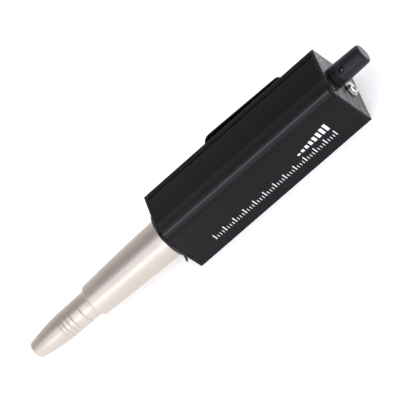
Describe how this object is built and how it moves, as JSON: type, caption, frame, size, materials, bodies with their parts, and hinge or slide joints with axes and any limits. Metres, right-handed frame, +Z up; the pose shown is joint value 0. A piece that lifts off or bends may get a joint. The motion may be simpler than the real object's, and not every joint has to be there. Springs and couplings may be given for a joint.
{
  "type": "headphone amplifier",
  "caption": "Square black belt-clip headphone amplifier with a slim volume knob and a headphone jack on one end, and a latched round audio plug in a socket on the other.",
  "frame": {"origin": "centre of the case's lower side face, on which it rests", "axes": "+X along the case towards the volume knob, -Y out of the front face, +Y out of the belt clip's face, +Z up"},
  "size_m": [0.2048, 0.0356, 0.028],
  "materials": {
    "case_black": "satin black anodised aluminium",
    "plate_black": "satin black anodised plate",
    "clip_black": "black painted spring steel",
    "socket_black": "black finished die casting",
    "knob_black": "soft matt black plastic",
    "moulding_black": "black moulded plastic",
    "satin_nickel": "satin nickel plated metal",
    "bright_nickel": "bright nickel plate",
    "contact_brass": "brass",
    "plain_steel": "plain steel",
    "board_green": "green solder mask",
    "cell_sleeve": "plain blue sleeve",
    "capacitor_can": "aluminium can",
    "wire_red": "red insulation",
    "wire_black": "black insulation",
    "wire_white": "white insulation"
  },
  "bodies": {
    "case": {"case_channel": "case_black", "back_cover": "case_black", "knob_end_plate": "plate_black", "socket_end_plate": "plate_black", "clip_base": "clip_black", "socket_shell": "socket_black", "headphone_jack": "moulding_black", "socket_insert": "moulding_black", "battery_holder": "moulding_black", "amplifier_chip": "moulding_black", "preamplifier_chip": "moulding_black", "inductor": "moulding_black", "jack_nut": "bright_nickel", "battery_bridge": "bright_nickel", "battery_terminal_1": "bright_nickel", "battery_terminal_2": "bright_nickel", "clip_screw_1": "bright_nickel", "clip_screw_2": "bright_nickel", "cover_screw_1": "bright_nickel", "cover_screw_2": "bright_nickel", "cover_screw_3": "bright_nickel", "cover_screw_4": "bright_nickel", "knob_plate_screw_1": "bright_nickel", "knob_plate_screw_2": "bright_nickel", "knob_plate_screw_3": "bright_nickel", "knob_plate_screw_4": "bright_nickel", "socket_plate_screw_1": "bright_nickel", "socket_plate_screw_2": "bright_nickel", "socket_plate_screw_3": "bright_nickel", "socket_plate_screw_4": "bright_nickel", "socket_contact_1": "contact_brass", "socket_contact_2": "contact_brass", "socket_contact_3": "contact_brass", "volume_pot_body": "plain_steel", "circuit_board": "board_green", "battery_cell_1": "cell_sleeve", "battery_cell_2": "cell_sleeve", "capacitor_1": "capacitor_can", "capacitor_2": "capacitor_can", "capacitor_3": "capacitor_can", "capacitor_4": "capacitor_can", "battery_lead_1": "wire_red", "input_wire_2": "wire_red", "battery_lead_2": "wire_black", "input_wire_3": "wire_black", "input_wire_1": "wire_white"},
    "knob": {"knob_cap": "knob_black", "knob_base_ring": "knob_black", "knob_set_screw": "plain_steel", "pot_shaft": "plain_steel"},
    "plug": {"plug_shell": "satin_nickel", "plug_insert": "moulding_black", "plug_pin_1": "bright_nickel", "plug_pin_2": "bright_nickel", "plug_pin_3": "bright_nickel", "plug_boot": "satin_nickel", "cable_clamp": "moulding_black"},
    "latch": {"release_latch": "socket_black"},
    "clip": {"clip_arm": "clip_black"}
  },
  "joints": [
    {"name": "volume_turn", "type": "hinge", "parent": "case", "child": "knob", "pos_m": [0.051, 0, 0.0194], "axis": [1, 0, 0], "range_deg": [-150, 150]},
    {"name": "plug_pull", "type": "slide", "parent": "case", "child": "plug", "axis": [-1, 0, 0], "range_m": [0, 0.025]},
    {"name": "latch_press", "type": "slide", "parent": "case", "child": "latch", "axis": [1, 0, 0], "range_m": [0, 0.0012], "stiffness_N_per_m": 1500},
    {"name": "clip_flex", "type": "hinge", "parent": "case", "child": "clip", "pos_m": [0.0275, 0.01715, 0.014], "axis": [0, 0, -1], "range_deg": [0, 8], "stiffness_Nm_per_rad": 1.5}
  ]
}
